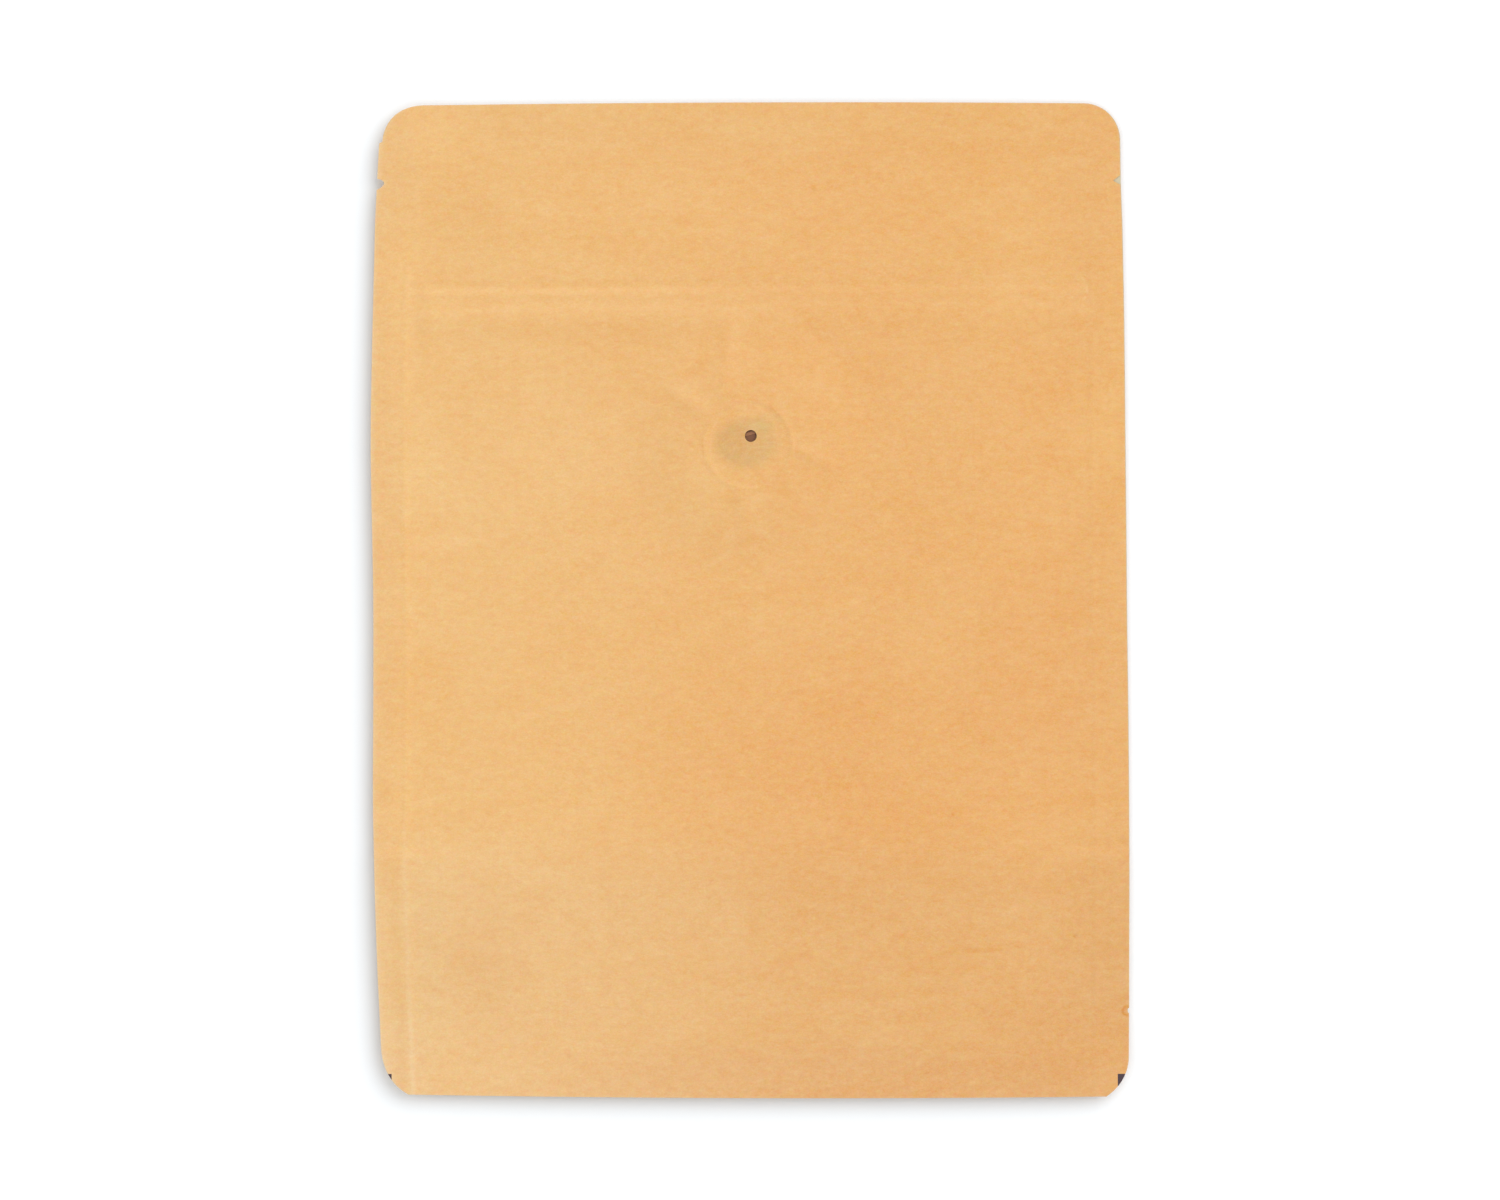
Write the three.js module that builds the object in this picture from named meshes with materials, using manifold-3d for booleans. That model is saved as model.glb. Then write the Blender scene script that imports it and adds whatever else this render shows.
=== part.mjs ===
// A stand-up pouch of brown kraft paper with a one-way valve, empty and lying flat on its back.
// Millimetres. +X runs across the pouch, +Y to its mouth and +Z up, out of the side with the valve.
// The origin is under the middle of the pouch, on the surface that it lies on.

import * as THREE from 'three';
import { mergeVertices } from 'three/addons/utils/BufferGeometryUtils.js';
import Module from 'manifold-3d';

const { smoothstep, clamp, degToRad } = THREE.MathUtils;

// Outline of the pouch, from above
const HALF_WIDTH = 95.5;
const HALF_HEIGHT = 125.4;
const SIDE_STEPS = 22;
const CORNER_STEPS = 5;
const TOP_BOW = { highestAt: 25, draw: 0.8, reach: 110 };
const BOTTOM_BOW = { highestAt: 18, draw: 1.05, reach: 115 };
const TOP_LEFT_CORNER = { across: 9.4, up: 8.7 };
const TOP_RIGHT_CORNER = { across: 9, up: 9 };
const DIE_STEP = 0.8;

// How far the sides draw in, from the bottom up: height and draw
const LEFT_DRAW = [
  [-125.4, 3.2], [-115, 2.75], [-105, 2.3], [-95, 1.8], [-85, 1.42], [-75, 1.1], [-65, 0.85], [-55, 0.62],
  [-45, 0.56], [-25, 0.68], [-5, 0.7], [5, 0.6], [15, 0.42], [25, 0.2], [37, 0.02], [47, 0.05],
  [55, 0.2], [65, 0.38], [75, 0.64], [95, 1.12], [105, 1.6], [115, 2.15], [125.4, 3],
];
const RIGHT_DRAW = [
  [-125.4, 0.15], [-100, 0], [-65, 0], [-45, 0.11], [-25, 0.3], [-5, 0.6], [15, 0.76],
  [35, 0.97], [55, 1.13], [75, 1.38], [95, 1.8], [105, 2.2], [115, 2.35], [125.4, 2.55],
];

// The bottom corners are curves that meet the edge at a slant; a control's shares run in and down
const BOTTOM_RIGHT_CORNER = { across: 5.6, up: 11.6, controlIn: -0.08, controlDown: 0.65 };
const BOTTOM_LEFT_CORNER = { across: 8.2, up: 12.2, controlIn: 0.14, controlDown: 0.86 };

// Notches in the two sides
const LEFT_TEAR = { height: 104.9, depth: 1.8, above: 1.2, fullAbove: 0.9, below: 1.6, fullBelow: 0.3 };
const RIGHT_TEAR = { height: 105.7, depth: 1.8, above: 1.4, fullAbove: 0.1, below: 1, fullBelow: 0.1 };
const TACK_HEIGHT = -103.4;
const TACK_RADIUS = 0.8;
const TACK_DEPTH = 0.4;

// Layers: two panels, and two more where the gusset is folded in between them
const PAPER = 0.3;
const SIDE_SEAL = 8.3;
const SEAL_THICKNESS = 2 * PAPER;
const GUSSET_HEIGHT = 62;
const GUSSET_LAYERS = 2 * PAPER;
const FOLD_SOFTNESS = 1.5;
const FOLD_FREE_SOFTNESS = 12;
const SEAL_RIDGE = { left: 0.15, right: 0.08, halfWidth: 0.9, fadeFrom: 52, fadeTo: 24 };

// Slack between the panels, and the curl of the edges off the surface below
const SLACK = 1.6;
const SLACK_BUILD_UP = { sides: 30, bottom: 38, mouth: 44 };
const BACK_BULGE = 0.25;
const LEFT_CURL = { rise: 3.9, reach: 46 };
const RIGHT_CURL = { rise: 1.3, reach: 34 };
const TOP_CURL = { rise: 1.3, reach: 34 };
const BOTTOM_CURL = { rise: 3.4, reach: 46 };

// Open ends: the mouth, and the gap between the two legs of the folded gusset
const SLIT_DEPTH = 6;
const SLIT_GAP = PAPER;
const SLIT_END = 0.06;
const SLIT_OVERRUN = 1.5;
const SLIT_STEPS = 24;
const SLIT_PARTING = PAPER;

// Zipper under the paper: where the paper steps up or down over it, as distances below the mouth; to the
// right of ZIPPER_LEVEL_AT the zipper runs a little nearer the mouth
const ZIPPER_LEFT = -83;
const ZIPPER_RIGHT = 86;
const ZIPPER_LEVEL_AT = -60;
const ZIPPER_SLOPE = 0.0065;
const ZIPPER_FADE = { from: -24, to: 2, share: 0.5 };
const ZIPPER_STEPS = [
  { start: 46.4, end: 48.8, rise: 0.34 },
  { start: 50, end: 54.4, rise: 0.3 },
  { start: 54.8, end: 62, rise: -0.42 },
  { start: 60, end: 84, rise: -0.22 },
];

// One-way valve, a disc welded inside the front panel
const VALVE_CENTRE = { x: -0.4, y: 39.5 };
const VALVE_RADIUS = 10.6;
const VALVE_BOTTOM = 1;
const VALVE_TOP = 3.25;
const VALVE_BEVEL = 0.3;
const VALVE_GAP = 0.3;
const TENT_RISE = 1.9;
const TENT_REACH = 34;
const TENT_TOP = 10.9;
const WELD_FLOOR = 2;
const WELD_FACE = 3.88;
const WELD_RIM = { centre: { x: -0.4, y: 39.1 }, radius: 11.1, halfWidth: 0.6, rise: 0.15 };
const WELD_MIDDLE = { centre: { x: -0.7, y: 41.8 }, radius: 7.6, edge: 0.5, rise: 0.12 };
const VENT_CENTRE = { x: 0.2, y: 41.3 };
const VENT_RADIUS = 1.5;
const ROUND_SIDES = 48;
const VENT_SIDES = 24;

// Creases that run out from the valve, each from one place to another
const CREASES = [
  { start: [-11.3, 46.8], end: [-20.6, 53.3], rise: 0.36, halfWidth: 2 },
  { start: [-6.5, 50.8], end: [-5.8, 71.7], rise: 0.34, halfWidth: 2.4 },
  { start: [11.3, 38.2], end: [22.1, 33.2], rise: 0.3, halfWidth: 1.6 },
  { start: [-2, 27.7], end: [-1, 16.4], rise: 0.25, halfWidth: 2 },
  { start: [-4.5, 18.1], end: [-11.3, 10.1], rise: 0.2, halfWidth: 1.4 },
];
const CREASE_END = 3;

// Grid that the relief is worked out on: positions across and up, close together at the details
const GRID_MARGIN = 2.5;
const BACK_STEP = 8;
const CROSS_STATIONS = [
  ...spread(-HALF_WIDTH - GRID_MARGIN, -HALF_WIDTH + 6, 1),
  ...spread(-HALF_WIDTH + 6, -HALF_WIDTH + 10.5, 5),
  ...spread(-HALF_WIDTH + 10.5, -70, 3),
  ...spread(-70, -26, 6),
  ...spread(-26, 26, 18),
  ...spread(26, 70, 6),
  ...spread(70, HALF_WIDTH - 10.5, 3),
  ...spread(HALF_WIDTH - 10.5, HALF_WIDTH - 6, 4),
  ...spread(HALF_WIDTH - 6, HALF_WIDTH + GRID_MARGIN, 1),
  HALF_WIDTH + GRID_MARGIN,
];
const UP_STATIONS = [
  ...spread(-HALF_HEIGHT - GRID_MARGIN, -HALF_HEIGHT + 4, 1),
  ...spread(-HALF_HEIGHT + 4, -HALF_HEIGHT + 40, 6),
  ...spread(-HALF_HEIGHT + 40, -HALF_HEIGHT + GUSSET_HEIGHT - 4, 2),
  ...spread(-HALF_HEIGHT + GUSSET_HEIGHT - 4, -HALF_HEIGHT + GUSSET_HEIGHT + 2, 4),
  ...spread(-HALF_HEIGHT + GUSSET_HEIGHT + 2, 6, 8),
  ...spread(6, 64, 22),
  ...spread(64, 70, 4),
  ...spread(70, 80, 14),
  ...spread(80, HALF_HEIGHT - 4, 7),
  ...spread(HALF_HEIGHT - 4, HALF_HEIGHT + GRID_MARGIN, 1),
  HALF_HEIGHT + GRID_MARGIN,
];
const BACK_CROSS_STATIONS = coarse(HALF_WIDTH);
const BACK_UP_STATIONS = coarse(HALF_HEIGHT);

const SLAB_HEIGHT = 8;
const KRAFT_PAPER = new THREE.MeshStandardMaterial({ color: 0xeebb7d, roughness: 0.85, metalness: 0 });
const VALVE_PLASTIC = new THREE.MeshStandardMaterial({ color: 0x7d5541, roughness: 0.45, metalness: 0 });

// Even steps from one position up to, and without, another
function spread(from, to, steps) {
  return Array.from({ length: steps }, (_, step) => from + ((to - from) * step) / steps);
}

// The back only curls near its four edges, so its grid is wide over the middle
function coarse(half) {
  const flat = half - LEFT_CURL.reach;
  return [
    -half - GRID_MARGIN,
    ...spread(-half + BACK_STEP / 2, -flat, 5),
    ...spread(-flat, flat, 4),
    ...spread(flat, half - BACK_STEP / 2, 5),
    half - BACK_STEP / 2,
    half + GRID_MARGIN,
  ];
}

function bell(distance, halfWidth) {
  return Math.exp(-((distance / halfWidth) ** 2));
}

// --- Outline ---

// How far a side draws in at a height, read between its listed heights
function drawAt(draws, y) {
  const above = clamp(draws.findIndex(([height]) => height > y), 1, draws.length - 1);
  const [lower, lowerDraw] = draws[above - 1];
  const [upper, upperDraw] = draws[above];
  const share = clamp((y - lower) / (upper - lower), 0, 1);
  return lowerDraw + share * (upperDraw - lowerDraw);
}

function leftSide(y) {
  return -HALF_WIDTH + drawAt(LEFT_DRAW, y);
}

function rightSide(y) {
  return HALF_WIDTH - drawAt(RIGHT_DRAW, y);
}

function topEdge(x) {
  return HALF_HEIGHT - TOP_BOW.draw * ((x - TOP_BOW.highestAt) / TOP_BOW.reach) ** 2;
}

function bottomEdge(x) {
  return -HALF_HEIGHT + BOTTOM_BOW.draw * ((x - BOTTOM_BOW.highestAt) / BOTTOM_BOW.reach) ** 2;
}

// A side as short straight steps from one height to another, the last one included
function followSide(shape, side, fromY, toY) {
  for (let step = 0; step <= SIDE_STEPS; step += 1) {
    const y = fromY + ((toY - fromY) * step) / SIDE_STEPS;
    shape.lineTo(side(y), y);
  }
}

// A long edge that bows outwards, as one curve through its two ends
function followEdge(shape, edge, fromX, toX) {
  const middle = (fromX + toX) / 2;
  const control = 2 * edge(middle) - (edge(fromX) + edge(toX)) / 2;
  shape.quadraticCurveTo(middle, control, toX, edge(toX));
}

function pouchOutline() {
  const rightTopY = topEdge(HALF_WIDTH) - TOP_RIGHT_CORNER.up;
  const rightBottomY = bottomEdge(HALF_WIDTH) + BOTTOM_RIGHT_CORNER.up;
  const leftTopY = topEdge(-HALF_WIDTH) - TOP_LEFT_CORNER.up;
  const leftBottomY = bottomEdge(-HALF_WIDTH) + BOTTOM_LEFT_CORNER.up;
  const rightTopX = rightSide(rightTopY) - TOP_RIGHT_CORNER.across;
  const rightBottomX = rightSide(rightBottomY) - BOTTOM_RIGHT_CORNER.across;
  const leftTopX = leftSide(leftTopY) + DIE_STEP + TOP_LEFT_CORNER.across;
  const leftBottomX = leftSide(leftBottomY) + BOTTOM_LEFT_CORNER.across;

  const shape = new THREE.Shape();
  shape.moveTo(leftBottomX, bottomEdge(leftBottomX));
  followEdge(shape, bottomEdge, leftBottomX, rightBottomX);
  shape.quadraticCurveTo(
    rightSide(rightBottomY) - BOTTOM_RIGHT_CORNER.across * BOTTOM_RIGHT_CORNER.controlIn,
    rightBottomY - BOTTOM_RIGHT_CORNER.up * BOTTOM_RIGHT_CORNER.controlDown,
    rightSide(rightBottomY),
    rightBottomY,
  );
  followSide(shape, rightSide, rightBottomY, rightTopY);
  roundCorner(shape, rightTopX, rightTopY, TOP_RIGHT_CORNER, 0);
  followEdge(shape, topEdge, rightTopX, leftTopX);
  roundCorner(shape, leftTopX, leftTopY, TOP_LEFT_CORNER, 90);
  followSide(shape, leftSide, leftTopY, leftBottomY);
  shape.quadraticCurveTo(
    leftSide(leftBottomY) + BOTTOM_LEFT_CORNER.across * BOTTOM_LEFT_CORNER.controlIn,
    leftBottomY - BOTTOM_LEFT_CORNER.up * BOTTOM_LEFT_CORNER.controlDown,
    leftBottomX,
    bottomEdge(leftBottomX),
  );
  return shape;
}

function roundCorner(shape, x, y, corner, fromDegrees) {
  const from = degToRad(fromDegrees);
  shape.absellipse(x, y, corner.across, corner.up, from, from + Math.PI / 2, false);
}

// --- Relief of the front and back, at a place given by its height and its unbowed distance across ---

function curlHeight(inset, curl) {
  return curl.rise * Math.max(0, 1 - inset / curl.reach) ** 2;
}

// The curls of two edges run together softly at their corner
function backSurface(x, y) {
  const curls = [
    curlHeight(HALF_WIDTH + x, LEFT_CURL),
    curlHeight(HALF_WIDTH - x, RIGHT_CURL),
    curlHeight(HALF_HEIGHT - y, TOP_CURL),
    curlHeight(HALF_HEIGHT + y, BOTTOM_CURL),
  ];
  return curls.reduce((sum, curl) => sum + curl ** 4, 0) ** 0.25 - BACK_BULGE;
}

// From 0 on the side seals to 1 where the panels are free of each other
function insideSeals(x, buildUp) {
  return smoothstep(HALF_WIDTH - SIDE_SEAL - Math.abs(x), 0, buildUp);
}

function layerThickness(x, y) {
  const softness = FOLD_SOFTNESS + FOLD_FREE_SOFTNESS * insideSeals(x, SLACK_BUILD_UP.sides);
  const inGusset = smoothstep(GUSSET_HEIGHT - HALF_HEIGHT - y, -softness, softness);
  const parted = smoothstep(Math.abs(y), HALF_HEIGHT - 2 * SLIT_DEPTH, HALF_HEIGHT);
  return SEAL_THICKNESS + GUSSET_LAYERS * inGusset
    + SLIT_PARTING * parted * insideSeals(x, SLACK_BUILD_UP.sides);
}

function slack(x, y) {
  return SLACK * insideSeals(x, SLACK_BUILD_UP.sides)
    * smoothstep(HALF_HEIGHT + y, 0, SLACK_BUILD_UP.bottom)
    * smoothstep(HALF_HEIGHT - y, SLIT_DEPTH, SLACK_BUILD_UP.mouth);
}

// The bead that the sealing bar leaves along the inner edge of each side seal
function sealRidge(x, y) {
  const offSeal = Math.abs(x) - (HALF_WIDTH - SIDE_SEAL);
  const fromMouth = smoothstep(HALF_HEIGHT - y, SEAL_RIDGE.fadeTo, SEAL_RIDGE.fadeFrom);
  const rise = x < 0 ? SEAL_RIDGE.left : SEAL_RIDGE.right;
  return rise * bell(offSeal, SEAL_RIDGE.halfWidth) * fromMouth;
}

function zipper(x, y) {
  const below = HALF_HEIGHT - y + ZIPPER_SLOPE * (x - ZIPPER_LEVEL_AT);
  const along = smoothstep(x, ZIPPER_LEFT - 2, ZIPPER_LEFT + 2)
    * (1 - smoothstep(x, ZIPPER_RIGHT - 3, ZIPPER_RIGHT + 1))
    * (1 - ZIPPER_FADE.share * smoothstep(x, ZIPPER_FADE.from, ZIPPER_FADE.to));
  return ZIPPER_STEPS.reduce((sum, step) => sum + step.rise * smoothstep(below, step.start, step.end), 0)
    * along;
}

// The paper is held up like a tent by the valve under it, with creases running out from the weld
function valveTent(x, y) {
  const fromValve = Math.hypot(x - VALVE_CENTRE.x, y - VALVE_CENTRE.y);
  return TENT_RISE * (1 - smoothstep(fromValve, TENT_TOP, TENT_REACH));
}

function crease(x, y, fold) {
  const [startX, startY] = fold.start;
  const [endX, endY] = fold.end;
  const length = Math.hypot(endX - startX, endY - startY);
  const runX = (endX - startX) / length;
  const runY = (endY - startY) / length;
  const along = (x - startX) * runX + (y - startY) * runY;
  const across = (y - startY) * runX - (x - startX) * runY;
  return fold.rise * bell(across, fold.halfWidth)
    * smoothstep(along, -CREASE_END, CREASE_END)
    * (1 - smoothstep(along, length - CREASE_END, length + CREASE_END));
}

function frontSurface(x, y) {
  const creases = CREASES.reduce((sum, fold) => sum + crease(x, y, fold), 0);
  return backSurface(x, y) + layerThickness(x, y) + slack(x, y) + sealRidge(x, y)
    + zipper(x, y) + valveTent(x, y) + creases;
}

// The draw of the two sides is shared out over the width, so that seals run parallel to them
function bowed(x, y) {
  const share = clamp(Math.abs(x) / HALF_WIDTH, 0, 1);
  return x < 0 ? x + share * drawAt(LEFT_DRAW, y) : x - share * drawAt(RIGHT_DRAW, y);
}

// --- Bodies ---

const wasm = await Module();
wasm.setup();

function toSolid(geometry) {
  geometry.deleteAttribute('normal');
  geometry.deleteAttribute('uv');
  const welded = mergeVertices(geometry, 1e-4);
  return new wasm.Manifold(new wasm.Mesh({
    numProp: 3,
    vertProperties: new Float32Array(welded.getAttribute('position').array),
    triVerts: new Uint32Array(welded.getIndex().array),
  }));
}

function toGeometry(solid) {
  const mesh = solid.getMesh();
  const geometry = new THREE.BufferGeometry();
  geometry.setAttribute('position', new THREE.BufferAttribute(mesh.vertProperties, 3));
  geometry.setIndex(new THREE.BufferAttribute(mesh.triVerts, 1));
  return geometry;
}

function extrudeUp(shape, height) {
  return new THREE.ExtrudeGeometry(shape, {
    depth: height,
    bevelEnabled: false,
    curveSegments: CORNER_STEPS,
  });
}

// A profile of [radius, height] points turned round an upright axis
function turned(profile, centre, sides) {
  const points = profile.map(([radius, height]) => new THREE.Vector2(radius, height));
  const geometry = new THREE.LatheGeometry(points, sides);
  geometry.rotateX(Math.PI / 2);
  geometry.translate(centre.x, centre.y, 0);
  return geometry;
}

// A box whose grid of points is moved onto an upper and a lower surface
function reliefBlock(across, up, upper, lower) {
  const block = new THREE.BoxGeometry(1, 1, 1, across.length - 1, up.length - 1, 1);
  const points = block.getAttribute('position');
  for (let i = 0; i < points.count; i += 1) {
    const x = across[Math.round((points.getX(i) + 0.5) * (across.length - 1))];
    const y = up[Math.round((points.getY(i) + 0.5) * (up.length - 1))];
    const surface = points.getZ(i) > 0 ? upper : lower;
    points.setXYZ(i, bowed(x, y), y, surface(x, y));
  }
  return block;
}

// The gap between the two middle layers at an open end, closing inwards
function slit(end) {
  const inner = end * (HALF_HEIGHT - SLIT_DEPTH);
  const outer = end * (HALF_HEIGHT + SLIT_OVERRUN);
  const gap = (y) => THREE.MathUtils.mapLinear(y, inner, outer, SLIT_END, SLIT_GAP) / 2;
  const middle = (x, y) => (frontSurface(x, y) + backSurface(x, y)) / 2;
  const reach = HALF_WIDTH - SIDE_SEAL;
  return reliefBlock(
    [...spread(-reach, reach, SLIT_STEPS), reach],
    [Math.min(inner, outer), Math.max(inner, outer)],
    (x, y) => middle(x, y) + gap(y),
    (x, y) => middle(x, y) - gap(y),
  );
}

// A tear notch in a side, as a curve in to its tip and one out again; a fullness of 0 gives a straight V.
// Its direction is +1 on the left side and -1 on the right one.
function tearNotch(notch, side, direction) {
  const edge = side(notch.height);
  const inwards = (share) => edge + direction * notch.depth * share;
  const roundAbove = (1 + notch.fullAbove) / 2;
  const roundBelow = (1 + notch.fullBelow) / 2;
  const shape = new THREE.Shape();
  shape.moveTo(inwards(-1), notch.height + notch.above);
  shape.lineTo(inwards(0), notch.height + notch.above);
  shape.quadraticCurveTo(
    inwards(roundAbove),
    notch.height + notch.above * roundAbove,
    inwards(1),
    notch.height,
  );
  shape.quadraticCurveTo(
    inwards(roundBelow),
    notch.height - notch.below * roundBelow,
    inwards(0),
    notch.height - notch.below,
  );
  shape.lineTo(inwards(-1), notch.height - notch.below);
  shape.closePath();
  return extrudeUp(shape, SLAB_HEIGHT);
}

function tackNotch() {
  const shape = new THREE.Shape();
  const x = rightSide(TACK_HEIGHT) + TACK_RADIUS - TACK_DEPTH;
  shape.absarc(x, TACK_HEIGHT, TACK_RADIUS, 0, 2 * Math.PI, false);
  return extrudeUp(shape, SLAB_HEIGHT);
}

// The weld's rim, which shows through the paper over the valve
function weldedRing() {
  const { centre, radius, halfWidth, rise } = WELD_RIM;
  return turned([
    [0, WELD_FLOOR],
    [radius + halfWidth, WELD_FLOOR],
    [radius + halfWidth, WELD_FACE],
    [radius, WELD_FACE + rise],
    [radius - halfWidth, WELD_FACE],
    [0, WELD_FACE],
  ], centre, ROUND_SIDES);
}

// The paper stands up a little over the valve's middle
function weldedMiddle() {
  const { centre, radius, edge, rise } = WELD_MIDDLE;
  return turned([
    [0, WELD_FLOOR],
    [radius + edge, WELD_FLOOR],
    [radius + edge, WELD_FACE],
    [radius - edge, WELD_FACE + rise],
    [0, WELD_FACE + rise],
  ], centre, ROUND_SIDES);
}

function disc(centre, radius, bottom, top, sides) {
  return turned([[0, bottom], [radius, bottom], [radius, top], [0, top]], centre, sides);
}

function pouch() {
  const below = () => -SLAB_HEIGHT;
  const above = () => 2 * SLAB_HEIGHT;
  const front = toSolid(reliefBlock(CROSS_STATIONS, UP_STATIONS, frontSurface, below));
  const back = toSolid(reliefBlock(BACK_CROSS_STATIONS, BACK_UP_STATIONS, above, backSurface));
  const slab = toSolid(extrudeUp(pouchOutline(), SLAB_HEIGHT));
  const room = disc(
    VALVE_CENTRE,
    VALVE_RADIUS + VALVE_GAP,
    VALVE_BOTTOM - VALVE_GAP,
    VALVE_TOP + VALVE_GAP,
    ROUND_SIDES,
  );
  const vent = disc(VENT_CENTRE, VENT_RADIUS, VALVE_TOP, SLAB_HEIGHT, VENT_SIDES);
  const cuts = [
    room,
    vent,
    slit(1),
    slit(-1),
    tearNotch(LEFT_TEAR, leftSide, 1),
    tearNotch(RIGHT_TEAR, rightSide, -1),
    tackNotch(),
  ];
  const panels = slab.intersect(front).intersect(back);
  const whole = panels.add(toSolid(weldedRing())).add(toSolid(weldedMiddle()));
  return toGeometry(cuts.reduce((body, cut) => body.subtract(toSolid(cut)), whole));
}

function valve() {
  return turned([
    [0, VALVE_BOTTOM],
    [VALVE_RADIUS - VALVE_BEVEL, VALVE_BOTTOM],
    [VALVE_RADIUS, VALVE_BOTTOM + VALVE_BEVEL],
    [VALVE_RADIUS, VALVE_TOP - VALVE_BEVEL],
    [VALVE_RADIUS - VALVE_BEVEL, VALVE_TOP],
    [0, VALVE_TOP],
  ], VALVE_CENTRE, ROUND_SIDES);
}

function named(name, geometry, material) {
  const mesh = new THREE.Mesh(geometry, material);
  mesh.name = name;
  return mesh;
}

const group = new THREE.Group();
group.add(
  named('pouch', pouch(), KRAFT_PAPER),
  named('valve', valve(), VALVE_PLASTIC),
);

export default group;
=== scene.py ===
"""A stand-up pouch of brown kraft paper with a one-way valve, empty and lying on its back, valve side up.

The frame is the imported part's: +X runs across the pouch, +Y to its mouth and +Z up. Sizes are in
millimetres until a finished piece is scaled to metres.
"""

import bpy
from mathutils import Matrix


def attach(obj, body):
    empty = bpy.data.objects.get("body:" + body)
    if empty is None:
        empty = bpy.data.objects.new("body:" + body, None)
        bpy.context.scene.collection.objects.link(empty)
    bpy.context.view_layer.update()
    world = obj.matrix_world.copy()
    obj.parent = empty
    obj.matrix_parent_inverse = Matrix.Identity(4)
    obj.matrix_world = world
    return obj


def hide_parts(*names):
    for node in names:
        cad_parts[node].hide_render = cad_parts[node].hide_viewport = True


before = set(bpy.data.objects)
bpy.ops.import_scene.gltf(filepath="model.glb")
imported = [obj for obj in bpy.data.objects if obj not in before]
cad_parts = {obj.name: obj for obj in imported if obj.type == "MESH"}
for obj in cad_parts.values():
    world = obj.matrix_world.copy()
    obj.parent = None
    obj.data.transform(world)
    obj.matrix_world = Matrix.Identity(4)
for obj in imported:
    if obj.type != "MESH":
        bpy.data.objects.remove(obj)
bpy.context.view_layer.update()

import math

import bmesh
import bpy
import numpy as np
from mathutils import Matrix, Vector

METRES = 0.001

# Outline of the pouch, from above
HALF_WIDTH = 95.5
HALF_HEIGHT = 125.4
# How far the sides draw in, from the bottom up: height and draw
LEFT_DRAW = [
    (-125.4, 3.2), (-115, 2.75), (-105, 2.3), (-95, 1.8), (-85, 1.42), (-75, 1.1), (-65, 0.85),
    (-55, 0.62), (-45, 0.56), (-25, 0.68), (-5, 0.7), (5, 0.6), (15, 0.42), (25, 0.2), (37, 0.02),
    (47, 0.05), (55, 0.2), (65, 0.38), (75, 0.64), (95, 1.12), (105, 1.6), (115, 2.15), (125.4, 3),
]
RIGHT_DRAW = [
    (-125.4, 0.15), (-100, 0), (-65, 0), (-45, 0.11), (-25, 0.3), (-5, 0.6), (15, 0.76),
    (35, 0.97), (55, 1.13), (75, 1.38), (95, 1.8), (105, 2.2), (115, 2.35), (125.4, 2.55),
]
TOP_BOW = {"highest_at": 25, "draw": 0.8, "reach": 110}
BOTTOM_BOW = {"highest_at": 18, "draw": 1.05, "reach": 115}
BOW_FADE = 25
CORNERS = {
    (-1, 1): {"across": 10.6, "up": 9},
    (1, 1): {"across": 9, "up": 9},
    (1, -1): {"across": 5.6, "up": 11.6, "control": (-0.08, 0.65)},
    (-1, -1): {"across": 6.6, "up": 12.2, "control": (0.03, 0.73)},
}
CORNER_CHORDS = 12
DIE_STEP = {"height": 115.8, "inset": 0.8, "softness": 0.25}

# Notches in the two sides
LEFT_TEAR = {"height": 104.9, "depth": 1.8, "above": 1.2, "below": 1.6}
LEFT_TEAR_ROUNDING = {"above": (2, 0.5), "below": (1.5, 0.8)}
RIGHT_TEAR = {"height": 105.7, "depth": 1.8, "above": 1.4, "below": 1}
RIGHT_TEAR_ROUNDING = {"above": (1.1, 1), "below": (1.1, 1)}
TACK = {"height": -103.4, "radius": 0.8, "depth": 0.4}
NOTCH_REACH = 5
BORDER = 0.05

# Layers of paper
PAPER = 0.3
SHEET = 0.28
SIDE_SEAL = 8.3
GUSSET_HEIGHT = 62
FOLD_SOFTNESS = 1.5
FOLD_FREE_SOFTNESS = 12
FOLD_LINE = GUSSET_HEIGHT - HALF_HEIGHT - FOLD_SOFTNESS
FOLD_ARC_STEPS = 8
FOLD_HALF_ARC = 0.4
FOLD_BULGE = 0.15
GUSSET_SHEET = 0.26
GUSSET_INSET = 0.15
BACK_INSET = 0.25
BACK_SHIFT = 0.15
BACK_SHIFT_FADE = (-110, -70)
SEAL_RIDGE = {"left": 0.15, "right": 0.08, "half_width": 0.9}
SEAL_RIDGE_FADE = (24, 52)

# Slack between the panels, and the curl of the edges off the surface below
SLACK = 1.6
SLACK_AT_SIDES = 30
SLACK_AT_BOTTOM = 38
SLACK_AT_MOUTH = 44
BACK_BULGE = 0.25
LEFT_CURL = {"rise": 3.9, "reach": 46}
RIGHT_CURL = {"rise": 1.3, "reach": 34}
TOP_CURL = {"rise": 1.3, "reach": 34}
BOTTOM_CURL = {"rise": 3.4, "reach": 46}
MOUTH_DEPTH = 6
MOUTH_PARTING = 0.3

# Zipper under the paper, as distances below the middle of the mouth: where the paper steps up or down
ZIPPER = {"left": -83, "right": 86, "level_at": -60, "slope": 0.0065}
ZIPPER_FADE = {"from": -24, "to": 2, "share": 0.5}
ZIPPER_STEPS = [
    {"start": 46.4, "end": 48.8, "rise": 0.34},
    {"start": 50, "end": 54.4, "rise": 0.3},
    {"start": 54.8, "end": 62, "rise": -0.42},
    {"start": 60, "end": 84, "rise": -0.22},
]

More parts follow.
